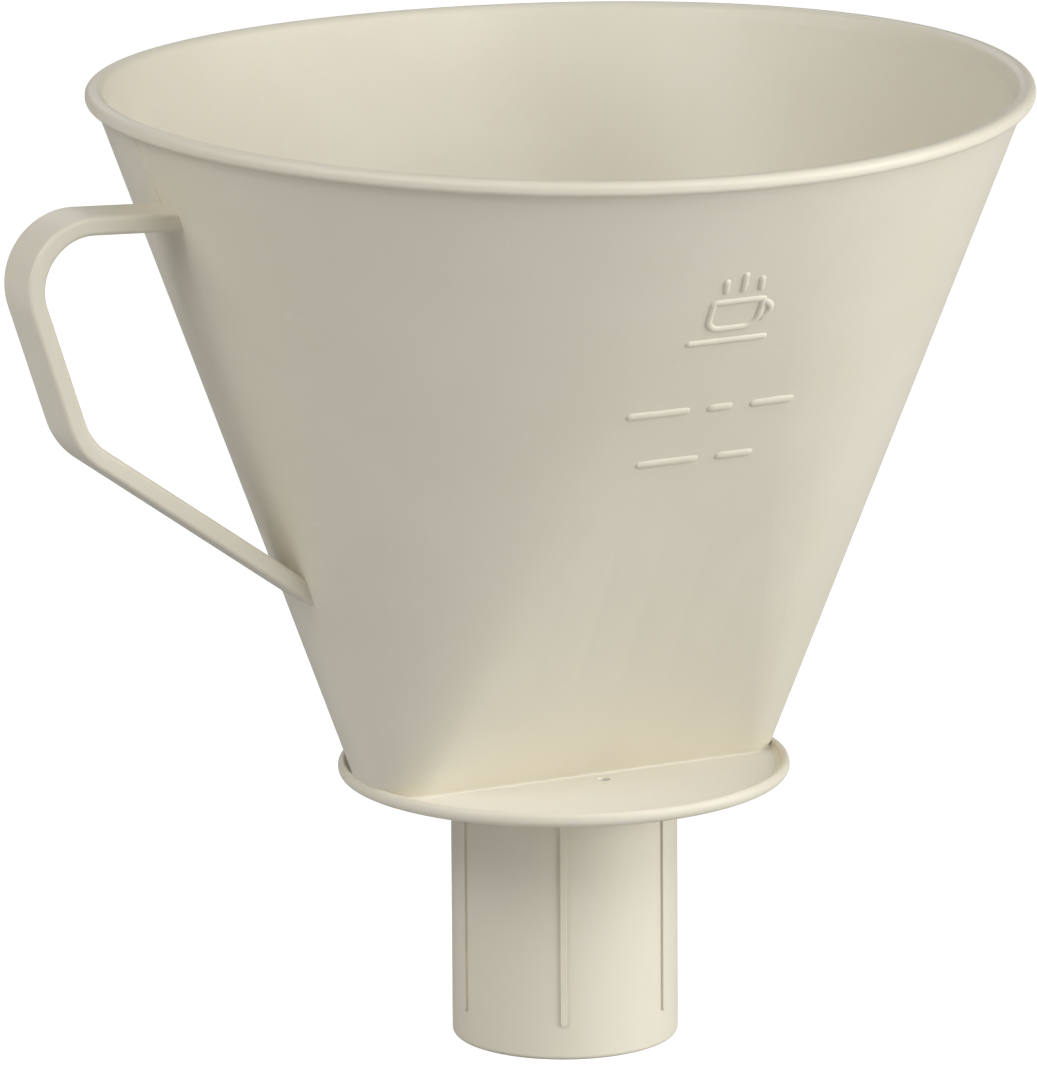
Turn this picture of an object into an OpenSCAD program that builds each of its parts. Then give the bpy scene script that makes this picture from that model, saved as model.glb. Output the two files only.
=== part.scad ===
// Pour over dripper: a one-piece moulded filter holder for size 4 paper
// cones, with a spout that drops into the neck of a flask.
// Units are millimetres. +Z is up, the spout's axis is Z, and Z = 0 is the
// underside of the round collar. The handle is at -X and the front is -Y.
// The real object is one moulding. Its features are kept as separate solids
// that meet face to face.

/* [Rim] */
// Outer diameter over the rolled rim
rim_d = 140; // [120:1:150]
// Height of the rim's middle above the collar's underside
rim_z = 103.5; // [90:0.5:115]
// Height of the rolled rim
rim_h = 2.2; // [1.6:0.1:4]
// How far the rim rises at the handle end and dips at the front
rim_lift = 0.8; // [0:0.1:2]

/* [Funnel wall] */
// Diameter of the wall's outer face where it meets the rim
wall_top_d = 137; // [117:0.5:147]
// Thickness of the wall, measured level
wall_t = 1.9; // [1.2:0.1:3]
// Length of the trough at the foot of the wall, outside
trough_l = 66; // [56:0.5:66]
// Width of the trough at the foot of the wall, outside
trough_w = 16.8; // [14:0.2:20]
// Radius of the trough's corners, outside
trough_r = 6.5; // [4:0.5:7]

/* [Collar] */
// Outer diameter of the collar over its bead
collar_d = 67.6; // [67.6:0.2:76]
// Thickness of the collar's plate
plate_t = 1.4; // [1:0.1:2]
// Thickness of the round bead on the collar's edge
bead_d = 2.4; // [2:0.1:3]
// Diameter of the vent hole in front of the trough
vent_d = 1.8; // [1:0.1:3]
// Vent hole's distance in front of the middle
vent_y = 11.3; // [11:0.1:13]
// Vent hole's distance to the right of the middle
vent_x = 0.9; // [-3:0.1:3]

/* [Drip plate] */
// Diameter of the drip plate, which closes the spout's upper end
drip_plate_d = 36.4; // [36:0.2:40]
// Diameter of each drip hole
drip_d = 4; // [2:0.5:5]
// Distance between the drip holes
drip_pitch = 9; // [7:0.5:11]

/* [Spout] */
// Outer diameter of the spout's tube
spout_d = 33.9; // [30:0.1:40]
// Wall thickness of the spout's tube
spout_t = 1.8; // [1.2:0.1:2.5]
// Length of the spout below the collar
spout_l = 40; // [25:1:60]
// Number of centring ribs round the spout
fin_n = 6; // [3:1:8]
// Width of a centring rib
fin_w = 0.9; // [0.8:0.1:2]
// How far a centring rib stands out from the tube
fin_h = 0.4; // [0.4:0.1:1.2]
// Turn of the centring ribs about the spout, in degrees
fin_turn = 2; // [0:1:60]
// Plain length of tube below the centring ribs
fin_gap = 5.4; // [4:0.2:10]

/* [Filter ribs] */
// Number of ribs inside each broad wall
rib_n = 7; // [3:2:9]
// Distance between the ribs
rib_pitch = 7.6; // [6:0.1:8]
// Width of a rib
rib_w = 1.4; // [1:0.1:2]
// How far a rib stands out from the wall, measured level
rib_h = 1.1; // [0.6:0.1:2]
// Height where the ribs start
rib_z0 = 15; // [6:1:20]
// Height where the middle rib ends
rib_z1 = 45; // [35:1:70]

/* [Handle] */
// Width of the handle's strap
strap_w = 9.2; // [6:0.2:14]
// Thickness of the handle's strap
strap_t = 2.8; // [2:0.1:4]
// Radius of the bend at the top of the grip, on the strap's middle line
bend_top_r = 9; // [6:0.5:12]
// Radius of the bend at the foot of the grip, on the strap's middle line
bend_foot_r = 10.7; // [6:0.1:14]

/* [Marks] */
// Height of the pictogram's middle
emblem_z = 82; // [74:1:84]
// Width of the pictogram
emblem_w = 22; // [14:1:28]
// Height of the upper row of plain dashes
dash_z = 65; // [60:0.5:67]
// Distance down to the lower row of plain dashes
dash_drop = 8.5; // [7:0.5:12]
// How far the marks stand out from the wall
mark_h = 0.35; // [0.2:0.05:0.8]

/* [Hidden] */

$fn = 96;
cream = [0.82, 0.80, 0.73];
cream_dark = [0.74, 0.72, 0.65];
cream_light = [0.88, 0.86, 0.79];

// The funnel wall runs in straight lines from the trough's outline to the
// rim's circle. Each line joins two points whose outlines face the same way,
// so the broad sides are flat triangles and the corners are parts of cones.
corner_steps = 20;
rim_steps = 4 * corner_steps;
foot_steps = 4 * (corner_steps + 1);
wall_z0 = plate_t;
wall_z1 = rim_z - rim_h / 2;
wall_top_r = wall_top_d / 2;
fine = 360;

function rise(a) = rim_lift * cos(2 * a);
function quarter(i) = floor(i / (corner_steps + 1));
function rim_index(i) = (quarter(i) * corner_steps + i % (corner_steps + 1)) % rim_steps;
function foot_angle(i) = 90 * (quarter(i) + (i % (corner_steps + 1)) / corner_steps);
function sign_x(i) = quarter(i) == 0 || quarter(i) == 3 ? 1 : -1;
function sign_y(i) = quarter(i) < 2 ? 1 : -1;
function foot_point(i, inset) = [
    sign_x(i) * (trough_l / 2 - trough_r) + (trough_r - inset) * cos(foot_angle(i)),
    sign_y(i) * (trough_w / 2 - trough_r) + (trough_r - inset) * sin(foot_angle(i))
];

// A level cut through the wall is a rounded rectangle. These give how far up
// its line a cut at height z is, on the broad side or at the narrow end, and
// the corners' radius and centre there.
function climb_broad(z) = (z - wall_z0) / (wall_z1 - rim_lift - wall_z0);
function climb_end(z) = (z - wall_z0) / (wall_z1 + rim_lift - wall_z0);
function corner_r(t, inset) = trough_r + (wall_top_r - trough_r) * t - inset;
function corner_x(t) = (trough_l / 2 - trough_r) * (1 - t);
function corner_y(t) = (trough_w / 2 - trough_r) * (1 - t);
function past(v, edge) = max(abs(v) - edge, 0);

// Half-width of the wall at x and half-length of the wall at y, at height z
function broad_y(x, z, inset = 0) =
    let (t = climb_broad(z), r = corner_r(t, inset))
    corner_y(t) + sqrt(r * r - past(x, corner_x(t)) ^ 2);
function end_x(y, z, inset = 0) =
    let (t = climb_end(z), r = corner_r(t, inset))
    corner_x(t) + sqrt(r * r - past(y, corner_y(t)) ^ 2);

// Slope of the flat broad side, away from upright
broad_tilt = atan((wall_top_r - trough_w / 2) / (wall_z1 - rim_lift - wall_z0));

// Outer or inner skin of the funnel: foot ring first, then rim ring
function skin_points(inset) = concat(
    [for (i = [0:foot_steps - 1]) [each foot_point(i, inset), wall_z0]],
    [for (i = [0:rim_steps - 1]) let (a = 360 * i / rim_steps, r = wall_top_r - inset)
        [r * cos(a), r * sin(a), wall_z1 + rise(a)]]
);
function skin_faces(foot0, rim0) = [
    for (i = [0:foot_steps - 1])
        let (j = (i + 1) % foot_steps, p = rim_index(i), q = rim_index(j))
        each p == q
            ? [[foot0 + i, rim0 + p, foot0 + j]]
            : [[foot0 + i, rim0 + p, rim0 + q], [foot0 + i, rim0 + q, foot0 + j]]
];
function flipped(faces) = [for (f = faces) [f[0], f[2], f[1]]];
function ring_faces(n, a0, b0) = [
    for (i = [0:n - 1]) let (j = (i + 1) % n)
        each [[a0 + i, b0 + i, b0 + j], [a0 + i, b0 + j, a0 + j]]
];

// The whole space inside the wall's outer face, or inside a face grown from it
module wall_space(grow = 0) {
    points = concat(skin_points(-grow), [[0, 0, wall_z0], [0, 0, wall_z1]]);
    foot_hub = foot_steps + rim_steps;
    rim_hub = foot_hub + 1;
    polyhedron(points, concat(
        skin_faces(0, foot_steps),
        [for (i = [0:foot_steps - 1]) [foot_hub, i, (i + 1) % foot_steps]],
        [for (i = [0:rim_steps - 1])
            [rim_hub, foot_steps + (i + 1) % rim_steps, foot_steps + i]]
    ));
}

module funnel_wall() {
    all = foot_steps + rim_steps;
    color(cream) polyhedron(
        concat(skin_points(0), skin_points(wall_t)),
        concat(
            skin_faces(0, foot_steps),
            flipped(skin_faces(all, all + foot_steps)),
            ring_faces(foot_steps, all, 0),
            ring_faces(rim_steps, foot_steps, all + foot_steps)
        )
    );
}

// Cross-section of the rolled rim: flat below, round outside and on top
rim_round = rim_h / 2;
rim_in_r = wall_top_r - wall_t;
rim_soft = 0.5;
rim_profile = concat(
    [[rim_in_r, -rim_h / 2]],
    [for (a = [180:-30:90])
        [rim_in_r + rim_soft + rim_soft * cos(a), rim_h / 2 - rim_soft + rim_soft * sin(a)]],
    [for (a = [90:-22.5:-90])
        [rim_d / 2 - rim_round + rim_round * cos(a), rim_round * sin(a)]]
);

module rim_bead() {
    n = len(rim_profile);
    color(cream_light) polyhedron(
        [for (i = [0:rim_steps - 1]) let (a = 360 * i / rim_steps)
            each [for (p = rim_profile) [p.x * cos(a), p.x * sin(a), rim_z + rise(a) + p.y]]],
        [for (i = [0:rim_steps - 1]) let (j = (i + 1) % rim_steps)
            each [for (k = [0:n - 1]) let (m = (k + 1) % n)
                each [[i * n + k, i * n + m, j * n + m], [i * n + k, j * n + m, j * n + k]]]]
    );
}

bead_r = bead_d / 2;
bead_c = collar_d / 2 - bead_r;
plate_r = bead_c - 1;

module collar_plate() {
    color(cream) difference() {
        cylinder(r = plate_r, h = plate_t);
        translate([0, 0, -1]) cylinder(d = drip_plate_d, h = plate_t + 2);
    }
}

module collar_bead() {
    color(cream_light) difference() {
        rotate_extrude() {
            translate([bead_c, bead_r]) circle(bead_r, $fn = 32);
            translate([plate_r, 0]) square([bead_c - plate_r, bead_r]);
        }
        wall_space();
    }
}

// Middle of the collar's plate, with the drip holes in the trough and the vent
// hole in front of it
module drip_plate() {
    color(cream_dark) difference() {
        cylinder(d = drip_plate_d, h = plate_t);
        for (k = [-1:1])
            translate([k * drip_pitch, 0, -1]) cylinder(d = drip_d, h = plate_t + 2);
        translate([vent_x, -vent_y, -1]) cylinder(d = vent_d, h = plate_t + 2);
    }
}

spout_r = spout_d / 2;

module spout_tube() {
    color(cream) translate([0, 0, -spout_l]) difference() {
        cylinder(r = spout_r, h = spout_l);
        translate([0, 0, -1]) cylinder(r = spout_r - spout_t, h = spout_l + 2);
    }
}

// One centring rib with a round foot, standing on the tube
module spout_fin() {
    foot_z = -(spout_l - fin_gap);
    difference() {
        translate([spout_r - 1, 0, 0]) rotate([90, 0, 90]) linear_extrude(1 + fin_h) {
            translate([0, foot_z + fin_w / 2]) circle(fin_w / 2, $fn = 24);
            translate([-fin_w / 2, foot_z + fin_w / 2]) square([fin_w, -foot_z - fin_w / 2]);
        }
        translate([0, 0, -spout_l]) cylinder(r = spout_r, h = spout_l + 1, $fn = fine);
    }
}

module spout_fins() {
    color(cream_light) for (k = [0:fin_n - 1])
        rotate([0, 0, 360 * k / fin_n + fin_turn]) spout_fin();
}

// One rib on the inner face of the front wall, at x, up to height z1. Its back
// follows the wall and it fades out at both ends.
rib_fade = 3;
rib_step = 2.5;
function rib_back(x, z) = -broad_y(abs(x) + rib_w / 2, z, wall_t);
function rib_face(x, z, z1) =
    rib_back(x, z) + rib_h * min(1, (z - rib_z0) / rib_fade, (z1 - z) / rib_fade);

module filter_rib(x, z1) {
    translate([x - rib_w / 2, 0, 0]) rotate([90, 0, 90]) linear_extrude(rib_w) polygon(concat(
        [for (z = [rib_z0:rib_step:z1]) [rib_back(x, z), z]],
        [for (z = [z1 - rib_step:-rib_step:rib_z0 + rib_step]) [rib_face(x, z, z1), z]]
    ));
}

// The outermost ribs stop a little lower than the others
module filter_rib_row() {
    reach = floor(rib_n / 2);
    for (k = [-reach:reach])
        filter_rib(k * rib_pitch, abs(k) == reach ? rib_z1 - 3 * rib_step : rib_z1);
}

module filter_ribs_front() {
    color(cream_light) filter_rib_row();
}

module filter_ribs_back() {
    color(cream_light) mirror([0, 1, 0]) filter_rib_row();
}

// Corners of the strap's middle line, seen from the front: wall, top of the
// grip, foot of the grip, wall
strap_line = [[-60, 90.9], [-90.7, 92.6], [-79.8, 59.3], [-38, 29.3]];
bend_r = [0, bend_top_r, bend_foot_r, 0];
bend_steps = 10;

function unit(v) = v / norm(v);
function left_of(v) = [-v.y, v.x];
function heading(k) = unit(strap_line[k + 1] - strap_line[k]);
function turn(k) = acos(heading(k - 1) * heading(k));
function bend_start(k) = strap_line[k] - heading(k - 1) * bend_r[k] * tan(turn(k) / 2);
function bend_centre(k) = bend_start(k) + left_of(heading(k - 1)) * bend_r[k];

// One side of the strap, at a distance from the middle line
function strap_side(gap) = concat(
    [strap_line[0] - left_of(heading(0)) * gap],
    [for (k = [1, 2], s = [0:bend_steps])
        let (a = atan2(-heading(k - 1).x, heading(k - 1).y) + turn(k) * s / bend_steps)
        bend_centre(k) + (bend_r[k] + gap) * [cos(a), sin(a)]],
    [strap_line[3] - left_of(heading(2)) * gap]
);
function backwards(list) = [for (i = [len(list) - 1:-1:0]) list[i]];

module handle_strap() {
    color(cream) difference() {
        translate([0, strap_w / 2, 0]) rotate([90, 0, 0]) linear_extrude(strap_w)
            polygon(concat(strap_side(strap_t / 2), backwards(strap_side(-strap_t / 2))));
        wall_space();
    }
}

// Raises its 2D children from the front of the wall, with their middle at
// height z
module on_front(z) {
    reach = 2;
    difference() {
        intersection() {
            translate([0, -broad_y(0, z), z]) rotate([90 + broad_tilt, 0, 0])
                translate([0, 0, -reach]) linear_extrude(2 * reach) children();
            wall_space(mark_h);
        }
        wall_space();
    }
}

// Plain mug with an ear and a saucer, as a line drawing
line_w = 1.2;
mug_w = emblem_w * 0.42;
mug_h = emblem_w * 0.29;
mug_x = -emblem_w * 0.05;
mug_v = -emblem_w * 0.21;
ear_r = 2.2;

module emblem_cup() {
    color(cream_light) on_front(emblem_z) translate([mug_x, mug_v]) {
        difference() {
            mug_shape(mug_w, mug_h, 2.6);
            translate([0, line_w]) mug_shape(mug_w - 2 * line_w, mug_h - 2 * line_w, 1.4);
        }
        translate([mug_w / 2 - line_w / 2, mug_h * 0.55]) difference() {
            circle(ear_r, $fn = 48);
            circle(ear_r - line_w, $fn = 48);
            translate([-2 * ear_r, -ear_r]) square([2 * ear_r - line_w / 4, 2 * ear_r]);
        }
        translate([-emblem_w * 0.34, -2 * line_w]) square([emblem_w * 0.68, line_w]);
    }
}

// Straight mug with round lower corners, its foot at the origin
module mug_shape(w, h, r) {
    hull() {
        for (side = [-1, 1])
            translate([side * (w / 2 - r), r]) circle(r, $fn = 32);
        translate([-w / 2, h / 2]) square([w, h / 2]);
    }
}

// Three strokes of steam, the middle one tallest
steam_v = 3.2;
steam_h = 3;

module emblem_steam() {
    color(cream_light) on_front(emblem_z) for (k = [-1:1])
        translate([mug_x + k * emblem_w * 0.13, steam_v]) {
            translate([-line_w / 2, 0]) square([line_w, steam_h - abs(k)]);
            translate([0, steam_h - abs(k)]) circle(line_w / 2, $fn = 24);
            circle(line_w / 2, $fn = 24);
        }
}

// A row of plain dashes with round ends, from their lengths
module dash_row(z, lengths, gap) {
    dash_t = 1.6;
    total = sum(lengths) + gap * (len(lengths) - 1);
    on_front(z) for (i = [0:len(lengths) - 1]) {
        x0 = -total / 2 + sum([for (k = [0:i]) lengths[k]]) - lengths[i] + i * gap;
        translate([x0 + dash_t / 2, -dash_t / 2]) square([lengths[i] - dash_t, dash_t]);
        for (x = [x0 + dash_t / 2, x0 + lengths[i] - dash_t / 2])
            translate([x, 0]) circle(dash_t / 2, $fn = 24);
    }
}
function sum(list) = list * [for (v = list) 1];

module dashes_upper() {
    color(cream_light) dash_row(dash_z, [11, 5, 8], 2);
}

module dashes_lower() {
    color(cream_light) dash_row(dash_z - dash_drop, [11, 7], 2);
}

// Fine ridge left by the mould, from the rim down to the handle
module mould_line() {
    proud = 0.2;
    side = 0.5;
    ends = [[1.8, wall_z1 - 0.3], [0.2, 93.2]];
    color(cream_light) difference() {
        hull() for (p = ends)
            translate([-end_x(p.x, p.y) - proud + side / 2, p.x, p.y]) cube(side, center = true);
        wall_space();
    }
}

funnel_wall();
rim_bead();
collar_plate();
collar_bead();
drip_plate();
spout_tube();
spout_fins();
filter_ribs_front();
filter_ribs_back();
handle_strap();
emblem_cup();
emblem_steam();
dashes_upper();
dashes_lower();
mould_line();
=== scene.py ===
# %% [markdown]
# # Pour over dripper
# A pour over dripper holds a paper cone of ground coffee over a flask. This
# one is a single moulding in cream plastic: a round rim narrows to a straight
# trough, and a spout below drops into the flask's neck. The solids made in CAD
# are loaded first, because every piece takes its place and size from them.

import math

import bmesh
import bpy
from mathutils import Matrix, Vector


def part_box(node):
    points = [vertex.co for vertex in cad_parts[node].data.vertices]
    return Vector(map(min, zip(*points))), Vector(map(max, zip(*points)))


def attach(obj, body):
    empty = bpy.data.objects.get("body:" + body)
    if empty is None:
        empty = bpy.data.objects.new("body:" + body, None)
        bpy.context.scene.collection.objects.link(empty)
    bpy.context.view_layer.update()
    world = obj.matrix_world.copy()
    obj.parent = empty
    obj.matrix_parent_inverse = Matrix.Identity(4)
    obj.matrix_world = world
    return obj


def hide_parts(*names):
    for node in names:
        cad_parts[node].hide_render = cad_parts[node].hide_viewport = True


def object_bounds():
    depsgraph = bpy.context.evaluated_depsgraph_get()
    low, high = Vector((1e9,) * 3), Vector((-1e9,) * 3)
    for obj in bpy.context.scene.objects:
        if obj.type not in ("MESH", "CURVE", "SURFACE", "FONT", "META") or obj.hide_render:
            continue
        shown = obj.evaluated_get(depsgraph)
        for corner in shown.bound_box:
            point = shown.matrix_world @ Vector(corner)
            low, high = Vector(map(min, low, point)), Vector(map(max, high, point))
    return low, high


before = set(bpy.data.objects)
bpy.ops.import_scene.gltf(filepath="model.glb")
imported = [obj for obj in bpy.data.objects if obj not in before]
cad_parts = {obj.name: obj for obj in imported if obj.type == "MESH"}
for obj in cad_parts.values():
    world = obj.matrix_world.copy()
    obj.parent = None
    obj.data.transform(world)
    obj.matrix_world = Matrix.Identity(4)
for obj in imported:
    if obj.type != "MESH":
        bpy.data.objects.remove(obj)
cad_low, cad_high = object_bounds()
MM = 0.001
print("solids:", len(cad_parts))
print("size in mm:", [round(side / MM, 1) for side in cad_high - cad_low])

# %% [markdown]
# The heights and radii come from the boxes of the solids. Only the trough's
# outline, the rim's lift and the thicknesses are written here, as the maker
# would know them.

# %% Read the main sizes
wall_low, wall_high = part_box("funnel_wall")
rim_low, rim_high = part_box("rim_bead")
_, plate_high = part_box("collar_plate")
_, lip_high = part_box("collar_bead")
_, floor_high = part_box("drip_plate")
spout_low, spout_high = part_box("spout_tube")
fins_low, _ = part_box("spout_fins")
ribs_low, ribs_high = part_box("filter_ribs_front")
strap_low, strap_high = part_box("handle_strap")
cup_low, cup_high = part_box("emblem_cup")

rim_r = rim_high.x
wall_top_r = wall_high.x
plate_t = plate_high.z
plate_r = plate_high.x
collar_r = lip_high.x
drip_floor_r = floor_high.x
spout_r = spout_high.x
rim_lift = 0.8 * MM
wall_t = 1.9 * MM
wall_foot = wall_low.z
wall_top = wall_high.z - rim_lift
trough_l, trough_w, trough_r = 66 * MM, 16.8 * MM, 6.5 * MM
spout_t = 1.8 * MM
print("rim radius:", round(rim_r / MM, 2), "wall from", round(wall_foot / MM, 2),
      "to", round(wall_top / MM, 2))

# %% [markdown]
# The funnel's wall is made of straight lines, from the trough's rounded
# rectangle up to the rim's circle. So any level cut is a rounded rectangle,
# and its size is known at every height. These two helpers give the wall's
# place on the broad side and at the narrow ends. Ribs, marks and handle use
# them to sit exactly on the wall.

# %% Where the wall is
def climb(z, lift):
    """How far up the wall a height is, from 0 at the foot to 1 at the rim."""
    return (z - wall_foot) / (wall_top + lift - wall_foot)


def corner_at(t, inset):
    """Centre and radius of the level cut's corner."""
    across = (trough_l / 2 - trough_r) * (1 - t)
    along = (trough_w / 2 - trough_r) * (1 - t)
    return across, along, trough_r + (wall_top_r - trough_r) * t - inset


def broad_y(x, z, inset=0.0):
    """Half-width of the wall at x and height z."""
    across, along, r = corner_at(climb(z, -rim_lift), inset)
    return along + math.sqrt(r * r - max(abs(x) - across, 0) ** 2)


def end_x(y, z, inset=0.0):
    """Half-length of the wall at y and height z."""
    across, along, r = corner_at(climb(z, rim_lift), inset)
    return across + math.sqrt(r * r - max(abs(y) - along, 0) ** 2)


broad_tilt = math.atan((wall_top_r - trough_w / 2) / (wall_top - rim_lift - wall_foot))
end_tilt = math.atan((wall_top_r - trough_l / 2) / (wall_top + rim_lift - wall_foot))
print("the broad sides lean", round(math.degrees(broad_tilt), 1), "degrees, the ends",
      round(math.degrees(end_tilt), 1))

# %% [markdown]
# Most pieces start the same way: deselect everything, add something small,
# and select parts of it by their place. Short helpers keep that out of the
# way of the shapes. Two places closer than NEAR count as the same.

# %% Helpers for selecting
NEAR = 0.01 * MM


def deselect_all():
    if bpy.context.object and bpy.context.object.mode != "OBJECT":
        bpy.ops.object.mode_set(mode="OBJECT")
    bpy.ops.object.select_all(action="DESELECT")


def only(piece):
    """Makes this piece the selected and active one."""
    deselect_all()
    piece.select_set(True)
    bpy.context.view_layer.objects.active = piece


def clear_selection(piece):
    bpy.ops.object.mode_set(mode="OBJECT")
    for parts in (piece.data.polygons, piece.data.edges, piece.data.vertices):
        parts.foreach_set("select", [False] * len(parts))


def select_points(piece, test):
    """Selects the points whose place passes the test, and goes to edit mode."""
    clear_selection(piece)
    bpy.context.tool_settings.mesh_select_mode = (True, False, False)
    for point in piece.data.vertices:
        point.select = test(point.co)
    bpy.ops.object.mode_set(mode="EDIT")


def select_edges(piece, test):
    """Selects the edges whose two ends pass the test together."""
    clear_selection(piece)
    bpy.context.tool_settings.mesh_select_mode = (False, True, False)
    points = piece.data.vertices
    for edge in piece.data.edges:
        edge.select = test(points[edge.vertices[0]].co, points[edge.vertices[1]].co)
    bpy.ops.object.mode_set(mode="EDIT")


def select_faces(piece, test):
    """Selects the faces whose middle and normal pass the test."""
    clear_selection(piece)
    bpy.context.tool_settings.mesh_select_mode = (False, False, True)
    for face in piece.data.polygons:
        face.select = test(face.center, face.normal)
    bpy.ops.object.mode_set(mode="EDIT")


# %% [markdown]
# A line is drawn as by hand: one point, pulled out again and again. Closed
# and swung round the spout's axis, such a line becomes a ring, the way a
# potter's template cuts a pot. Corners are rounded on the line, before the
# turn, so that every edge of the ring is soft.

# %% Helpers for drawing and turning
TURN_STEPS = 192


def draw_line(name, points):
    """One point pulled out from place to place."""
    deselect_all()
    bpy.ops.mesh.primitive_plane_add(size=MM)
    piece = bpy.context.object
    piece.name = piece.data.name = name
    bpy.context.tool_settings.mesh_select_mode = (True, False, False)
    bpy.ops.object.mode_set(mode="EDIT")
    bpy.ops.mesh.merge(type="CENTER")
    bpy.ops.transform.translate(value=points[0])
    for here, there in zip(points, points[1:]):
        pull = Vector(there) - Vector(here)
        bpy.ops.mesh.extrude_region_move(TRANSFORM_OT_translate={"value": pull})
    return piece


def close_line(keep_face):
    """Joins the line's ends, with or without a face inside."""
    bpy.ops.mesh.select_all(action="SELECT")
    bpy.ops.mesh.edge_face_add()
    if not keep_face:
        bpy.ops.mesh.delete(type="ONLY_FACE")


def tidy_skin():
    """Merges doubled points and turns every face outwards."""
    bpy.ops.mesh.select_all(action="SELECT")
    bpy.ops.mesh.remove_doubles(threshold=0.001 * MM)
    bpy.ops.mesh.normals_make_consistent(inside=False)
    bpy.ops.object.mode_set(mode="OBJECT")


def turned_ring(name, profile, steps=6):
    """A ring about the spout's axis.

    profile lists the radius, height and rounding of each corner, in metres.
    """
    corners = [Vector((r, 0, z)) for r, z, rounding in profile]
    piece = draw_line(name, corners)
    close_line(keep_face=False)
    for corner, (r, z, rounding) in zip(corners, profile):
        if rounding:
            select_points(piece, lambda place: (place - corner).length < NEAR)
            bpy.ops.mesh.bevel(offset=rounding, segments=steps, affect="VERTICES")
    bpy.ops.mesh.select_all(action="SELECT")
    bpy.ops.mesh.spin(steps=TURN_STEPS, angle=math.tau, center=(0, 0, 0), axis=(0, 0, 1))
    tidy_skin()
    return piece


# %% [markdown]
# The real thing is one plastic with one surface: polypropylene from a polished
# mould, with a satin shine. What keeps it from looking flat is small. The
# colour clouds a little where the melt cooled at different speeds, flow lines
# run up the wall, use leaves faint scuffs, and the shine changes with all of
# these. Noise textures on Object coordinates give each of them at its own
# scale, so the pattern runs on from piece to piece without a seam. The flat
# plate gets a paler copy of the same cream: painted light, which makes it
# look brighter than the wall although the plastic is the same.

# %% The cream plastic
def add_node(tree, kind, **settings):
    node = tree.nodes.new(kind)
    for key, value in settings.items():
        if key in node.inputs:
            node.inputs[key].default_value = value
        else:
            setattr(node, key, value)
    return node


def noise_at(tree, place, scale, detail, stretch=(1, 1, 1)):
    """A noise texture on Object coordinates, drawn out along an axis by stretch below 1."""
    mapping = add_node(tree, "ShaderNodeMapping")
    mapping.inputs["Scale"].default_value = stretch
    noise = add_node(tree, "ShaderNodeTexNoise", Scale=scale, Detail=detail)
    tree.links.new(place, mapping.inputs["Vector"])
    tree.links.new(mapping.outputs["Vector"], noise.inputs["Vector"])
    return noise.outputs["Fac"]


def remap(tree, value, low_in, high_in, low_out, high_out):
    """Stretches a range of values to another range, and stops at its ends."""
    ranged = add_node(tree, "ShaderNodeMapRange")
    ends = {"From Min": low_in, "From Max": high_in, "To Min": low_out, "To Max": high_out}
    for key, number in ends.items():
        ranged.inputs[key].default_value = number
    tree.links.new(value, ranged.inputs["Value"])
    return ranged.outputs["Result"]


def blend_colours(tree, amount, first, second):
    """Mixes two colours, or a colour and what another node gives."""
    mix = add_node(tree, "ShaderNodeMix", data_type="RGBA")
    tree.links.new(amount, mix.inputs["Factor"])
    for colour, socket in ((first, mix.inputs[6]), (second, mix.inputs[7])):
        if isinstance(colour, tuple):
            socket.default_value = (*colour, 1)
        else:
            tree.links.new(colour, socket)
    return mix.outputs[2]


def add_values(tree, first, second):
    total = add_node(tree, "ShaderNodeMath", operation="ADD")
    tree.links.new(first, total.inputs[0])
    tree.links.new(second, total.inputs[1])
    return total.outputs["Value"]


GRAIN_DEEP, RIPPLE_DEEP = 0.02 * MM, 0.06 * MM
PLASTIC_IOR = 1.49


def cream_plastic(name, cream, cream_warm, scuff_tone):
    """Satin cream plastic with clouds, flow lines and scuffs."""
    material = bpy.data.materials.new(name)
    material.use_nodes = True
    tree = material.node_tree
    shader = tree.nodes["Principled BSDF"]
    place = add_node(tree, "ShaderNodeTexCoord").outputs["Object"]

    clouds = noise_at(tree, place, 28, 3)
    flow = noise_at(tree, place, 160, 4, (1, 1, 0.06))
    scuffs = noise_at(tree, place, 420, 5, (1, 0.35, 1))
    grain = noise_at(tree, place, 2600, 2)
    ripple = noise_at(tree, place, 90, 2)

    tone = blend_colours(tree, remap(tree, clouds, 0.35, 0.65, 0, 1), cream, cream_warm)
    tone = blend_colours(tree, remap(tree, flow, 0.5, 0.75, 0, 0.35), tone, cream_warm)
    tone = blend_colours(tree, remap(tree, scuffs, 0.68, 0.76, 0, 0.4), tone, scuff_tone)
    tree.links.new(tone, shader.inputs["Base Color"])

    cloud_shine = remap(tree, clouds, 0.3, 0.7, 0.38, 0.46)
    scuff_shine = remap(tree, scuffs, 0.6, 0.75, 0, 0.12)
    shine = add_values(tree, cloud_shine, scuff_shine)
    tree.links.new(shine, shader.inputs["Roughness"])

    fine = add_node(tree, "ShaderNodeBump", Strength=0.25, Distance=GRAIN_DEEP)
    tree.links.new(grain, fine.inputs["Height"])
    broad = add_node(tree, "ShaderNodeBump", Strength=0.35, Distance=RIPPLE_DEEP)
    tree.links.new(ripple, broad.inputs["Height"])
    tree.links.new(fine.outputs["Normal"], broad.inputs["Normal"])
    tree.links.new(broad.outputs["Normal"], shader.inputs["Normal"])

    shader.inputs["IOR"].default_value = PLASTIC_IOR
    shader.inputs["Subsurface Weight"].default_value = 0.06
    shader.inputs["Subsurface Radius"].default_value = (1.0, 0.8, 0.5)
    shader.inputs["Subsurface Scale"].default_value = 1.0 * MM
    print("material:", name, "with", len(tree.nodes), "nodes")
    return material


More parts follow.
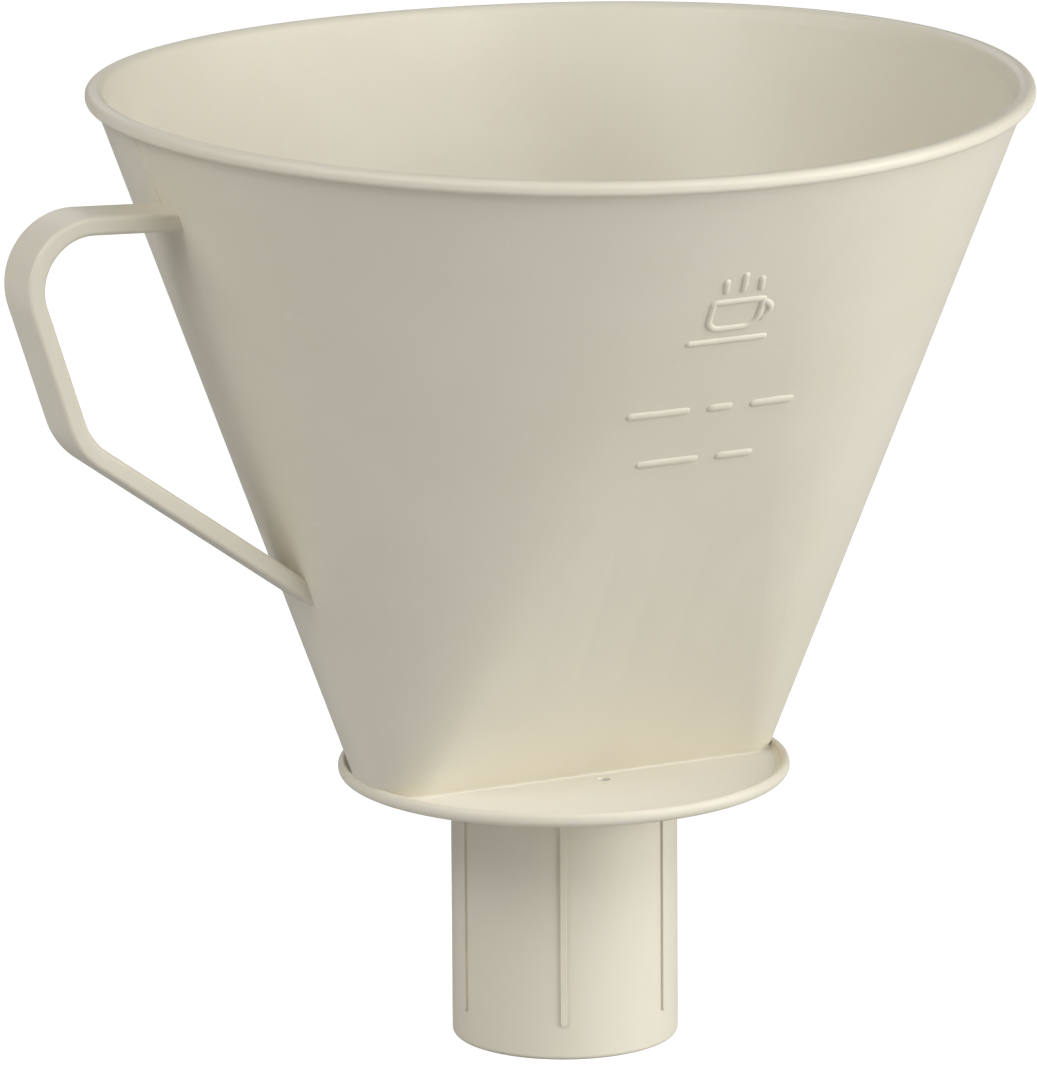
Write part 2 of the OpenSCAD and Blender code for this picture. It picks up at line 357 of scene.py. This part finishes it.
CREAM = (0.74, 0.70, 0.585)
CREAM_WARM = (0.715, 0.668, 0.55)
SCUFF = (0.77, 0.74, 0.64)
# The paler cream is painted light: a lighter copy of the same plastic, so the flat plate looks brighter.
PAINTED_LIGHT_CREAM = (0.80, 0.77, 0.68)
PAINTED_LIGHT_CREAM_WARM = (0.78, 0.745, 0.65)
plastic = cream_plastic("cream_satin_plastic", CREAM, CREAM_WARM, SCUFF)
painted_light_plastic = cream_plastic("cream_painted_light_plastic", PAINTED_LIGHT_CREAM, PAINTED_LIGHT_CREAM_WARM, SCUFF)

# %% [markdown]
# Every finished piece is closed, smooth except at real edges, cream, and
# fixed to the one body. Weighted normals let the large faces keep their own
# direction, so that a rounded edge doesn't shade the flat beside it.

# %% Helper that finishes a piece
def finish_piece(piece, *solids, angle=40, material=plastic):
    only(piece)
    bpy.ops.object.transform_apply(location=True, rotation=True, scale=True)
    bpy.ops.object.shade_smooth_by_angle(angle=math.radians(angle))
    bpy.ops.object.modifier_add(type="WEIGHTED_NORMAL")
    piece.modifiers[-1].keep_sharp = True
    bpy.ops.object.modifier_apply(modifier=piece.modifiers[-1].name)
    piece.data.materials.clear()
    piece.data.materials.append(material)
    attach(piece, "root")
    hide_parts(*solids)
    shell = bmesh.new()
    shell.from_mesh(piece.data)
    gaps = sum(not edge.is_manifold for edge in shell.edges)
    print(piece.name, "faces:", len(shell.faces), "open edges:", gaps,
          "volume in mm3:", round(shell.calc_volume(signed=True) / MM**3, 1))
    shell.free()


# %% [markdown]
# ## Funnel wall
# The wall has to be the shape that straight lines make between a rounded
# rectangle and a circle. Drawn one below the other, the two outlines can be
# wrapped by a convex hull, which is exactly that shape: two flat triangles
# and four parts of cones. A loft or a bridge would twist the lines instead.

# %% Wrap one skin of the funnel
CORNER_STEPS = 24
foot_sunk = 0.05 * MM
skin_foot = wall_foot - foot_sunk


def wrap_skin(name, inset):
    """One skin of the funnel, open at the rim and at the foot."""
    deselect_all()
    bpy.ops.mesh.primitive_plane_add(size=1, location=(0, 0, skin_foot))
    skin = bpy.context.object
    skin.name = skin.data.name = name
    skin.scale = (trough_l - 2 * inset, trough_w - 2 * inset, 1)
    bpy.ops.object.transform_apply(location=True, rotation=True, scale=True)
    bpy.ops.object.mode_set(mode="EDIT")
    bpy.ops.mesh.select_all(action="SELECT")
    bpy.ops.mesh.bevel(offset=trough_r - inset, segments=CORNER_STEPS, affect="VERTICES")
    bpy.ops.mesh.select_all(action="DESELECT")
    bpy.ops.mesh.primitive_circle_add(vertices=4 * CORNER_STEPS, radius=wall_top_r - inset,
                                      fill_type="NGON", location=(0, 0, wall_top))
    bpy.ops.mesh.select_all(action="SELECT")
    bpy.ops.mesh.convex_hull()
    select_faces(skin, lambda middle, normal: abs(normal.z) > 0.99)
    bpy.ops.mesh.delete(type="FACE")
    bpy.ops.object.mode_set(mode="OBJECT")
    return skin


def lift_rim(skin):
    """The cooled rim isn't quite level: it rises at the ends and dips at the broad sides."""
    for point in skin.data.vertices:
        if point.co.z > wall_top - MM:
            point.co.z += rim_lift * math.cos(2 * math.atan2(point.co.y, point.co.x))


outside = wrap_skin("funnel", 0)
inside = wrap_skin("funnel_inside", wall_t)
lift_rim(outside)
lift_rim(inside)
print("points of the two skins:", len(outside.data.vertices), len(inside.data.vertices))

# %% [markdown]
# Where a rib stands on the inside, the plastic is thicker, cools later and
# pulls the outside in by a few hundredths of a millimetre. These sink marks
# show as faint upright bands. The flat triangle is cut into strips there, and
# the strips' middle lines are pushed in.

# %% Sink marks behind the ribs
RIB_PITCH = 7.6 * MM
SINK_DEEP = 0.07 * MM
SINK_FADE = 4 * MM
sink_half = 1.7 * MM
sink_ribs = range(-2, 3)
offsets = [share * sink_half for share in (-1, -0.5, 0, 0.5, 1)]
side_cuts = sorted(k * RIB_PITCH + step for k in sink_ribs for step in offsets)
level_cuts = [ribs_low.z, ribs_low.z + SINK_FADE, ribs_high.z - SINK_FADE, ribs_high.z]


def on_flat(middle, normal):
    return abs(normal.x) < 0.002 and abs(normal.y) > 0.5


cuts = [((x, 0, 0), (1, 0, 0)) for x in side_cuts]
cuts += [((0, 0, z), (0, 0, 1)) for z in level_cuts]
for place, direction in cuts:
    only(outside)
    select_faces(outside, on_flat)
    bpy.ops.mesh.bisect(plane_co=place, plane_no=direction)

for side in (-1, 1):
    push = Vector((0, -side * math.cos(broad_tilt), math.sin(broad_tilt)))
    for wanted, depth in ((0, SINK_DEEP), (0.5, SINK_DEEP * 0.5)):
        lines = [k * RIB_PITCH + sign * wanted * sink_half for k in sink_ribs for sign in (-1, 1)]

        def in_a_sink(p):
            between = level_cuts[0] + MM < p.z < level_cuts[3] - MM
            return between and p.y * side > 0 and any(abs(p.x - x) < NEAR for x in lines)

        select_points(outside, in_a_sink)
        bpy.ops.transform.translate(value=push * depth)
        bpy.ops.object.mode_set(mode="OBJECT")
print("upright cuts:", len(side_cuts), "faces now:", len(outside.data.polygons))

# %% [markdown]
# At its foot the wall turns into the collar's plate through a small fillet.
# The foot's edge is pulled out level to a narrow flange, and the corner
# between wall and flange is bevelled. Then the two skins are joined and
# bridged at the rim and at the foot, which gives the wall its thickness. The
# inner skin is flipped first, because a bridge follows the way faces point.

# %% Foot fillet and closed wall
flange = 0.7 * MM
fillet_r = 0.62 * MM
only(outside)
select_edges(outside, lambda a, b: max(a.z, b.z) < skin_foot + NEAR)
bpy.ops.mesh.extrude_edges_move()
bpy.ops.transform.resize(value=((trough_l + 2 * flange) / trough_l, (trough_w + 2 * flange) / trough_w, 1),
                         center_override=(0, 0, 0))


def on_foot_outline(p):
    """True on the wall's own foot, and not on the flange."""
    past_x = max(abs(p.x) - (trough_l / 2 - trough_r), 0)
    past_y = max(abs(p.y) - (trough_w / 2 - trough_r), 0)
    return p.z < skin_foot + NEAR and math.hypot(past_x, past_y) < trough_r + 0.1 * MM


select_edges(outside, lambda a, b: on_foot_outline(a) and on_foot_outline(b))
bpy.ops.mesh.bevel(offset=fillet_r, segments=5, affect="EDGES")
only(inside)
bpy.ops.object.mode_set(mode="EDIT")
bpy.ops.mesh.select_all(action="SELECT")
bpy.ops.mesh.flip_normals()
only(outside)
inside.select_set(True)
bpy.ops.object.join()
rim_edge = wall_top - 1.5 * rim_lift
for at_end in (lambda a, b: min(a.z, b.z) > rim_edge, lambda a, b: max(a.z, b.z) < skin_foot + NEAR / 2):
    clear_selection(outside)
    bpy.context.tool_settings.mesh_select_mode = (False, True, False)
    shell = bmesh.new()
    shell.from_mesh(outside.data)
    open_pairs = {tuple(sorted(v.index for v in edge.verts)) for edge in shell.edges if edge.is_boundary}
    shell.free()
    points = outside.data.vertices
    for edge in outside.data.edges:
        ends = tuple(sorted(edge.vertices))
        edge.select = ends in open_pairs and at_end(points[ends[0]].co, points[ends[1]].co)
    bpy.ops.object.mode_set(mode="EDIT")
    bpy.ops.mesh.bridge_edge_loops()
tidy_skin()
finish_piece(outside, "funnel_wall")

# %% [markdown]
# ## Rim
# The rim is rolled over into a soft bead that stiffens the mouth. It is
# turned from a profile: its inner side carries the wall's inner face on
# upwards, its top and its outer side are round, and it is flat below. Then it
# gets the same rise and dip as the wall's edge.

# %% Turn the rim
rim_h = rim_high.z - rim_low.z - 2 * rim_lift
rim_in = wall_top_r - wall_t
rim = turned_ring("rim", [
    (rim_in, wall_top, 0),
    (rim_in + 0.26 * MM, wall_top + 0.25 * rim_h, 0),
    (rim_in + 1.0 * MM, wall_top + rim_h, 0.9 * MM),
    (rim_r, wall_top + rim_h, 1.1 * MM),
    (rim_r, wall_top, 0.8 * MM),
    (wall_top_r, wall_top, 0),
], steps=8)
for point in rim.data.vertices:
    point.co.z += rim_lift * math.cos(2 * math.atan2(point.co.y, point.co.x))
finish_piece(rim, "rim_bead")

# %% [markdown]
# ## Collar
# The collar is the disc that rests on the flask's neck. Its plate is flat,
# and its edge is a rounded lip that stands above the plate. The lip's inner
# corner has a hollow fillet, because the plate runs up into it. Both are
# turned rings, and they share their edge at the same radius.

# %% Turn the plate and its lip
# The plate gets the paler cream, painted light that makes it brighter than the wall.
finish_piece(turned_ring("collar_disc", [
    (drip_floor_r, 0, 0), (drip_floor_r, plate_t, 0), (plate_r, plate_t, 0), (plate_r, 0, 0),
]), "collar_plate", material=painted_light_plastic)

lip_top = lip_high.z
finish_piece(turned_ring("collar_lip", [
    (plate_r, 0, 0),
    (plate_r, plate_t, 0),
    (plate_r + 0.75 * MM, plate_t, 0.6 * MM),
    (plate_r + 1.05 * MM, lip_top, 0.45 * MM),
    (collar_r, lip_top, 1.0 * MM),
    (collar_r, 0.4 * MM, 0.9 * MM),
    (plate_r + 0.3 * MM, 0, 1.0 * MM),
], steps=8), "collar_bead", angle=60)

# %% [markdown]
# The middle of the plate is the funnel's floor. Three holes in the trough let
# the coffee through, and a small one in front lets the flask breathe. The
# holes are cut from a disc with Boolean modifiers, and their edges are
# bevelled, as no moulded hole has a knife edge.

# %% Cut the drip floor
DRIP_D, DRIP_PITCH, VENT_D = 4 * MM, 9 * MM, 1.8 * MM
VENT_X, VENT_Y = 0.9 * MM, 11.3 * MM
holes = [(k * DRIP_PITCH, 0, DRIP_D / 2) for k in (-1, 0, 1)] + [(VENT_X, -VENT_Y, VENT_D / 2)]
deselect_all()
bpy.ops.mesh.primitive_cylinder_add(vertices=TURN_STEPS, radius=drip_floor_r, depth=plate_t,
                                    location=(0, 0, plate_t / 2))
drip_floor = bpy.context.object
drip_floor.name = drip_floor.data.name = "drip_floor"
for x, y, r in holes:
    deselect_all()
    bpy.ops.mesh.primitive_cylinder_add(vertices=64, radius=r, depth=3 * plate_t, location=(x, y, 0))
    punch = bpy.context.object
    only(drip_floor)
    cut = drip_floor.modifiers.new("hole", "BOOLEAN")
    cut.operation, cut.object, cut.solver = "DIFFERENCE", punch, "EXACT"
    bpy.ops.object.modifier_apply(modifier=cut.name)
    bpy.data.objects.remove(punch)
only(drip_floor)
bpy.ops.object.transform_apply(location=True, rotation=True, scale=True)
for x, y, r in holes:
    def on_hole(p):
        return abs(math.hypot(p.x - x, p.y - y) - r) < 0.02 * MM

    select_edges(drip_floor, lambda a, b: on_hole(a) and on_hole(b) and abs(a.z - b.z) < NEAR)
    bpy.ops.mesh.bevel(offset=0.18 * r, segments=3, affect="EDGES")
tidy_skin()
# The drip floor gets the paler cream too, painted light.
finish_piece(drip_floor, "drip_plate", material=painted_light_plastic)

# %% [markdown]
# ## Spout
# The spout is a plain tube with a small fillet under the collar and a rounded
# mouth. Its top is sunk a little into the plate, so the fillet runs out in
# the plate's face.

# %% Turn the spout
mouth_z = spout_low.z
spout_top = 0.05 * MM
spout_in = spout_r - spout_t
finish_piece(turned_ring("spout", [
    (spout_in, spout_top, 0),
    (spout_in, mouth_z, 0.55 * MM),
    (spout_r, mouth_z, 0.7 * MM),
    (spout_r, spout_top, 0.6 * MM),
    (spout_r + 0.65 * MM, spout_top, 0),
]), "spout_tube", angle=50)

# %% [markdown]
# Six thin fins centre the spout in the flask's neck. One is modelled from a
# cube: stretched to a bar, with its outer edges and its foot rounded. The
# others are copies, each with a mesh of its own, turned round the axis.

# %% Model one fin and copy it
FIN_COUNT, FIN_W, FIN_H = 6, 0.9 * MM, 0.4 * MM
FIN_ROOT, FIN_SUNK, FIN_SOFT = 0.6 * MM, 0.3 * MM, 0.3 * MM
FIN_TURN = math.radians(2)
fin_out = spout_r + FIN_H
fin_foot = fins_low.z
deselect_all()
bpy.ops.mesh.primitive_cube_add(size=1, location=((spout_r - FIN_ROOT + fin_out) / 2, 0,
                                                  fin_foot / 2 + FIN_SUNK / 2))
fin = bpy.context.object
fin.name = fin.data.name = "spout_fin_0"
fin.scale = (fin_out - spout_r + FIN_ROOT, FIN_W, -fin_foot + FIN_SUNK)
bpy.ops.object.transform_apply(location=True, rotation=True, scale=True)
select_edges(fin, lambda a, b: max(a.z, b.z) < fin_foot + NEAR and abs(a.x - b.x) > 0.1 * MM)
bpy.ops.mesh.bevel(offset=FIN_W * 0.499, segments=8, affect="EDGES")
select_edges(fin, lambda a, b: min(a.x, b.x) > fin_out - NEAR)
bpy.ops.mesh.bevel(offset=FIN_SOFT, segments=4, affect="EDGES", clamp_overlap=True)
tidy_skin()
fins = [fin]
for k in range(1, FIN_COUNT):
    copy = fin.copy()
    copy.data = fin.data.copy()
    copy.name = copy.data.name = f"spout_fin_{k}"
    bpy.context.scene.collection.objects.link(copy)
    fins.append(copy)
for k, copy in enumerate(fins):
    copy.rotation_euler = (0, 0, FIN_TURN + math.tau * k / FIN_COUNT)
    finish_piece(copy, "spout_fins", angle=50)

# %% [markdown]
# ## Filter ribs
# Seven ribs inside each broad wall hold the wet paper off the plastic, so the
# coffee can run down behind it. Each rib is drawn from the side: its back
# follows the wall, slightly inside it, and its face rises and fades out at
# both ends. The drawing is pulled out to the rib's width and its face is
# rounded.

# %% Draw and pull out the ribs
RIB_W, RIB_H, RIB_FADE = 1.4 * MM, 1.1 * MM, 3.5 * MM
RIB_ROOT, RIB_SOFT = 0.9 * MM, 0.5 * MM
outer_stop = 7.5 * MM


def filter_rib(name, x, top, side):
    """A rib on the broad wall at x. side is -1 in front and 1 at the back."""
    foot = ribs_low.z
    far_x = abs(x) + RIB_W / 2
    heights = [foot + (top - foot) * k / 12 for k in range(13)]

    def back(z):
        return broad_y(far_x, z, wall_t - RIB_ROOT)

    def face(z):
        fade = min(1, (z - foot) / RIB_FADE, (top - z) / RIB_FADE)
        return broad_y(far_x, z, wall_t) - RIB_H * math.sin(fade * math.pi / 2) + 0.05 * MM

    outline = [(x - RIB_W / 2, side * back(z), z) for z in heights]
    outline += [(x - RIB_W / 2, side * face(z), z) for z in reversed(heights)]
    rib = draw_line(name, outline)
    close_line(keep_face=True)
    bpy.ops.mesh.extrude_region_move(TRANSFORM_OT_translate={"value": (RIB_W, 0, 0)})
    bpy.ops.mesh.select_all(action="SELECT")
    bpy.ops.mesh.normals_make_consistent(inside=False)

    def on_face_edge(a, b):
        same_side = abs(a.x - b.x) < NEAR
        return same_side and all(abs(abs(p.y) - face(p.z)) < 0.02 * MM for p in (a, b))

    select_edges(rib, on_face_edge)
    bpy.ops.mesh.bevel(offset=RIB_SOFT, segments=4, affect="EDGES")
    tidy_skin()
    return rib


for side, row, solid in ((-1, "front", "filter_ribs_front"), (1, "back", "filter_ribs_back")):
    for k in range(-3, 4):
        top = ribs_high.z - (outer_stop if abs(k) == 3 else 0)
        rib = filter_rib(f"filter_rib_{row}_{k + 3}", k * RIB_PITCH, top, side)
        finish_piece(rib, solid, angle=50)

# %% [markdown]
# ## Handle
# The handle is a flat strap with soft edges, bent twice. A strap is easiest
# to make the way it bends: its end is one small rounded rectangle, pulled
# out along the first straight, swung round the first bend, and so on down to
# the wall. Spin does the swinging. At both ends the strap is cut off along
# the middle of the wall, so nothing shows inside the funnel.

# %% Sweep the strap
STRAP_T, STRAP_SOFT = 2.8 * MM, 0.7 * MM
STRAP_PLACES = ((-60, 90.9), (-90.65, 92.6), (-79.8, 59.3), (-38, 29.3))
strap_w = strap_high.y - strap_low.y
strap_line = [Vector((x * MM, 0, z * MM)) for x, z in STRAP_PLACES]
bend_r = {1: 9 * MM, 2: 10.7 * MM}
headings = [(there - here).normalized() for here, there in zip(strap_line, strap_line[1:])]

deselect_all()
lean = math.atan2(headings[0].x, headings[0].z)
bpy.ops.mesh.primitive_plane_add(size=1, location=strap_line[0], rotation=(0, lean, 0))
handle = bpy.context.object
handle.name = handle.data.name = "handle"
handle.scale = (STRAP_T, strap_w, 1)
bpy.ops.object.transform_apply(location=True, rotation=True, scale=True)
bpy.ops.object.mode_set(mode="EDIT")
bpy.ops.mesh.select_all(action="SELECT")
bpy.ops.mesh.bevel(offset=STRAP_SOFT, segments=6, affect="VERTICES")
here = strap_line[0]
for k, r in bend_r.items():
    turn = headings[k - 1].angle(headings[k])
    start = strap_line[k] - headings[k - 1] * r * math.tan(turn / 2)
    bpy.ops.mesh.extrude_region_move(TRANSFORM_OT_translate={"value": start - here})
    centre = start + Vector((-headings[k - 1].z, 0, headings[k - 1].x)) * r
    bpy.ops.mesh.spin(steps=24, angle=turn, center=centre, axis=(0, 1, 0))
    here = strap_line[k] + headings[k] * r * math.tan(turn / 2)
    print("bend", k, "turns", round(math.degrees(turn), 1), "degrees")
bpy.ops.mesh.extrude_region_move(TRANSFORM_OT_translate={"value": strap_line[3] - here})

# %% [markdown]
# The strap's line runs on past the wall at both ends. One flat cut along the
# middle of the sloping wall takes both ends off, and closes them.

# %% Cut the strap along the wall
inward = Vector((math.cos(end_tilt), 0, math.sin(end_tilt)))
bpy.ops.mesh.select_all(action="SELECT")
bpy.ops.mesh.bisect(plane_co=(-trough_l / 2 + wall_t / 2, 0, wall_foot), plane_no=inward,
                    clear_outer=True, use_fill=True)
tidy_skin()
finish_piece(handle, "handle_strap")

# %% [markdown]
# ## Marks
# The front carries raised marks. Here they are a plain cup with steam and two
# rows of dashes. Each stroke is a path on the wall, turned into a curve with
# a round bevel, and sunk in the wall for the most part. The curve gets
# thinner at its ends in the way a ball does, so the ends are round too.

# %% Helper for a raised stroke
def on_wall(x, v, z0):
    """A place on the front wall, v above height z0 as measured up the slope."""
    z = z0 + v * math.cos(broad_tilt)
    return Vector((x, -broad_y(x, z), z))


def stroke(name, path, radius, sink, closed=False, end_round=True):
    """A raised line along a path of places on the wall."""
    into = Vector((0, math.cos(broad_tilt), math.sin(broad_tilt))) * sink
    path = [place + into for place in path]
    widths = [1.0] * len(path)
    if end_round and not closed:
        for at, step in ((0, 1), (-1, -1)):
            tip = path[at]
            along = (path[at + step] - tip).normalized()
            angles = [math.radians(a) for a in (8, 30, 55, 75)]
            tips = [tip + along * radius * (1 - math.cos(a)) for a in angles]
            sizes = [math.sin(a) for a in angles]
            kept = [k for k, place in enumerate(path) if (place - tip).length > radius]
            path, widths = [path[k] for k in kept], [widths[k] for k in kept]
            path = tips + path if at == 0 else path + tips[::-1]
            widths = sizes + widths if at == 0 else widths + sizes[::-1]
    line = draw_line(name, path)
    if closed:
        close_line(keep_face=False)
    bpy.ops.object.mode_set(mode="OBJECT")
    only(line)
    bpy.ops.object.convert(target="CURVE")
    line.data.bevel_depth = radius
    line.data.bevel_resolution = 5
    line.data.use_fill_caps = not closed
    for point, width in zip(line.data.splines[0].points, widths):
        point.radius = width
    bpy.ops.object.convert(target="MESH")
    bpy.ops.object.mode_set(mode="EDIT")
    tidy_skin()
    return line


def join_strokes(name, strokes):
    only(strokes[0])
    for line in strokes[1:]:
        line.select_set(True)
    bpy.ops.object.join()
    strokes[0].name = strokes[0].data.name = name
    return strokes[0]


LINE_R, RELIEF = 0.72 * MM, 0.33 * MM

# %% [markdown]
# The cup is a straight mug with round lower corners, drawn as one closed
# path, with an ear and a saucer's line. Three strokes of steam rise over it.

# %% Cup and steam
EMBLEM_Z, EMBLEM_W = 82 * MM, 22 * MM
LINE_W, CORNER, EAR_R = 1.2 * MM, 2 * MM, 1.6 * MM
mug_x, mug_v = -0.05 * EMBLEM_W, -0.21 * EMBLEM_W
half, brim = 0.21 * EMBLEM_W - LINE_W / 2, 0.29 * EMBLEM_W - LINE_W / 2
foot, ear_v = LINE_W / 2, 0.55 * 0.29 * EMBLEM_W
swing = [math.radians(15 * k) for k in range(7)]
right_side = [(half - CORNER + CORNER * math.sin(a), foot + CORNER - CORNER * math.cos(a)) for a in swing]
right_side += [(half, foot + CORNER + (brim - foot - CORNER) * k / 6) for k in range(1, 7)]
top_side = [(half - half * k / 6, brim) for k in range(1, 12)]
left_side = [(-u, v) for u, v in reversed(right_side)]
foot_side = [((CORNER - half) * (1 - k / 4), foot) for k in range(1, 8)]
ear_swing = [math.radians(90 - 12 * k) for k in range(16)]
ear_path = [(half + EAR_R * math.cos(a), ear_v + EAR_R * math.sin(a)) for a in ear_swing]
saucer_half = 0.34 * EMBLEM_W - LINE_R
saucer_path = [(saucer_half * (k / 8 - 1), -1.5 * LINE_W) for k in range(17)]


def mug_stroke(name, path, closed=False):
    return stroke(name, [on_wall(mug_x + u, mug_v + v, EMBLEM_Z) for u, v in path], LINE_R, LINE_R - RELIEF,
                  closed=closed)


cup_mark = join_strokes("cup_mark", [
    mug_stroke("mug_line", right_side + top_side + left_side + foot_side, closed=True),
    mug_stroke("ear_line", ear_path),
    mug_stroke("saucer_line", saucer_path),
])
finish_piece(cup_mark, "emblem_cup", angle=70)
print("cup mark among the solids, in mm:", [round(side / MM, 1) for side in cup_high - cup_low])

STEAM_V, STEAM_H, STEAM_WAVE = 3.2 * MM - mug_v, 3 * MM, 0.12 * MM
STEAM_GAP, STEAM_STEPS = 0.13, 12
steam_lines = []
for k in (-1, 0, 1):
    tall = STEAM_H - abs(k) * MM
    wave = []
    for s in range(STEAM_STEPS + 1):
        sway = STEAM_WAVE * math.sin(math.tau * s / STEAM_STEPS)
        rise = (tall + LINE_W) * s / STEAM_STEPS
        wave.append((STEAM_GAP * k * EMBLEM_W + sway, STEAM_V - LINE_W / 2 + rise))
    steam_lines.append(mug_stroke(f"steam_line_{k + 1}", wave))
finish_piece(join_strokes("steam_mark", steam_lines), "emblem_steam", angle=70)

# %% [markdown]
# Two rows of plain dashes stand below the cup. Each dash is one fat stroke
# with round ends, and each row is centred on the front.

# %% Rows of dashes
DASH_R, DASH_GAP = 1.1 * MM, 2 * MM
UPPER_Z, LOWER_Z = 65 * MM, 56.5 * MM


def dash_row(name, z, lengths):
    left = -(sum(lengths) + DASH_GAP * (len(lengths) - 1)) / 2
    dashes = []
    for k, length in enumerate(lengths):
        steps = [left + length * s / 10 for s in range(11)]
        dashes.append(stroke(f"{name}_{k}", [on_wall(x, 0, z) for x in steps], DASH_R, DASH_R - RELIEF))
        left += length + DASH_GAP
    return join_strokes(name, dashes)


upper = dash_row("upper_dashes", UPPER_Z, [11 * MM, 5 * MM, 8 * MM])
lower = dash_row("lower_dashes", LOWER_Z, [11 * MM, 7 * MM])
finish_piece(upper, "dashes_upper", angle=70)
finish_piece(lower, "dashes_lower", angle=70)

# %% [markdown]
# The mould's halves leave a fine ridge where they meet. It runs from the rim
# down to the handle, and is a thin stroke like the marks.

# %% Mould line
RIDGE_R = 0.25 * MM
ridge_top, ridge_foot = Vector((0, 1.8 * MM, wall_top + 0.2 * MM)), Vector((0, 0.2 * MM, 93.2 * MM))
ridge_path = []
for k in range(9):
    spot = ridge_top.lerp(ridge_foot, k / 8)
    ridge_path.append(Vector((-end_x(spot.y, spot.z), spot.y, spot.z)))
ridge_path = [place + inward * 0.05 * MM for place in ridge_path]
mould_ridge = stroke("mould_ridge", ridge_path, RIDGE_R, 0, end_round=False)
finish_piece(mould_ridge, "mould_line", angle=70)

# %% [markdown]
# ## Floor, light and camera
# The dripper stands on a plain white sheet of paper, its spout's mouth down.
# A real studio burns such a sheet out to white and keeps its glare off the
# object with black cloth. Here the sheet glows towards the camera and is a
# dull grey to all other rays, which does the same.

# %% Floor
FLOOR_SIDE, PAPER_GREY, PAPER_GLOW = 12, 0.55, 0.8
deselect_all()
bpy.ops.mesh.primitive_plane_add(size=FLOOR_SIDE, location=(0, 0, cad_low.z))
floor = bpy.context.object
floor.name = floor.data.name = "studio_floor"
paper = bpy.data.materials.new("white_paper")
paper.use_nodes = True
sheet = paper.node_tree
sheet.nodes.remove(sheet.nodes["Principled BSDF"])
dull = add_node(sheet, "ShaderNodeBsdfDiffuse")
dull.inputs["Color"].default_value = (PAPER_GREY, PAPER_GREY, PAPER_GREY, 1)
glow = add_node(sheet, "ShaderNodeEmission", Strength=PAPER_GLOW)
lit = add_node(sheet, "ShaderNodeAddShader")
seen = add_node(sheet, "ShaderNodeMixShader")
sheet.links.new(dull.outputs[0], lit.inputs[0])
sheet.links.new(glow.outputs[0], lit.inputs[1])
sheet.links.new(add_node(sheet, "ShaderNodeLightPath").outputs["Is Camera Ray"], seen.inputs["Fac"])
sheet.links.new(dull.outputs[0], seen.inputs[1])
sheet.links.new(lit.outputs[0], seen.inputs[2])
sheet.links.new(seen.outputs[0], sheet.nodes["Material Output"].inputs["Surface"])
floor.data.materials.append(paper)
print("floor at", round(cad_low.z / MM, 1), "mm")

# %% [markdown]
# Large round softboxes stand in a ring. The strongest are low on the right,
# so the right side and the front are bright, and the wall darkens slowly
# towards its left edge. Weaker ones on the left keep the handle clear, and
# a faint one behind keeps the back from going dark.

# %% Light
LIGHT_AWAY, LIGHT_WIDTH, WORLD_LIGHT = 1.6, 0.9, 0.01
middle = (cad_low + cad_high) / 2


def softbox(name, bearing, height, power):
    """A round soft light, its power in watts.

    bearing is its direction seen from above, in degrees from +X, and height
    is its angle above the floor.
    """
    around, over = math.radians(bearing), math.radians(height)
    away = Vector((math.cos(around) * math.cos(over), math.sin(around) * math.cos(over), math.sin(over)))
    lamp = bpy.data.lights.new(name, "AREA")
    lamp.shape, lamp.size, lamp.energy = "DISK", LIGHT_WIDTH, power
    holder = bpy.data.objects.new(name, lamp)
    bpy.context.scene.collection.objects.link(holder)
    holder.location = middle + away * LIGHT_AWAY
    holder.rotation_euler = (-away).to_track_quat("-Z", "Y").to_euler()


softbox("key_low", 302, 9, 11.2)
softbox("right_low", 330, 10, 9.2)
softbox("right_high", 320, 42, 2.8)
softbox("front_high", 282, 42, 7.2)
softbox("left_high", 200, 42, 8.5)
softbox("left_low", 184, 12, 4.4)
softbox("back_left_high", 150, 42, 4.1)
softbox("back_fill", 75, 28, 2.4)
world = bpy.data.worlds.new("studio")
world.use_nodes = True
world.node_tree.nodes["Background"].inputs["Color"].default_value = (1, 1, 1, 1)
world.node_tree.nodes["Background"].inputs["Strength"].default_value = WORLD_LIGHT
bpy.context.scene.world = world
bpy.context.scene.view_settings.view_transform = "Standard"
print("softboxes:", len(bpy.data.lights))

# %% [markdown]
# A long lens from a metre and a half away keeps upright lines nearly
# parallel. The camera stands to the left of the front, looks down by some 13
# degrees and is rolled by a fraction of a degree.

# %% Camera
LENS, SENSOR_WIDTH, FAR_END = 350.42, 36, 50
AIM_SIDE, AIM_HEIGHT = -6.568, 36.836
azimuth, elevation, roll = math.radians(-27.113), math.radians(13.462), math.radians(-0.365)
distance = 1541.9 * MM
flat = math.cos(elevation)
back = Vector((math.sin(azimuth) * flat, -math.cos(azimuth) * flat, math.sin(elevation)))
level = Vector((math.cos(azimuth), math.sin(azimuth), 0))
upright = back.cross(level)
right = level * math.cos(roll) + upright * math.sin(roll)
up = upright * math.cos(roll) - level * math.sin(roll)
aim = level * AIM_SIDE * MM + Vector((0, 0, AIM_HEIGHT * MM))
eye = bpy.data.cameras.new("camera")
eye.lens, eye.sensor_width, eye.clip_end = LENS, SENSOR_WIDTH, FAR_END
camera = bpy.data.objects.new("camera", eye)
bpy.context.scene.collection.objects.link(camera)
turned = Matrix((right, up, back)).transposed().to_4x4()
camera.matrix_world = Matrix.Translation(aim + back * distance) @ turned
bpy.context.scene.camera = camera
print("camera", round(distance, 3), "m away, lens", eye.lens, "mm")

# %% [markdown]
# The last cell writes down the box of the CAD solids.

# %% Sizes
print("CAD box", [round(v / MM, 2) for v in (*cad_low, *cad_high)])
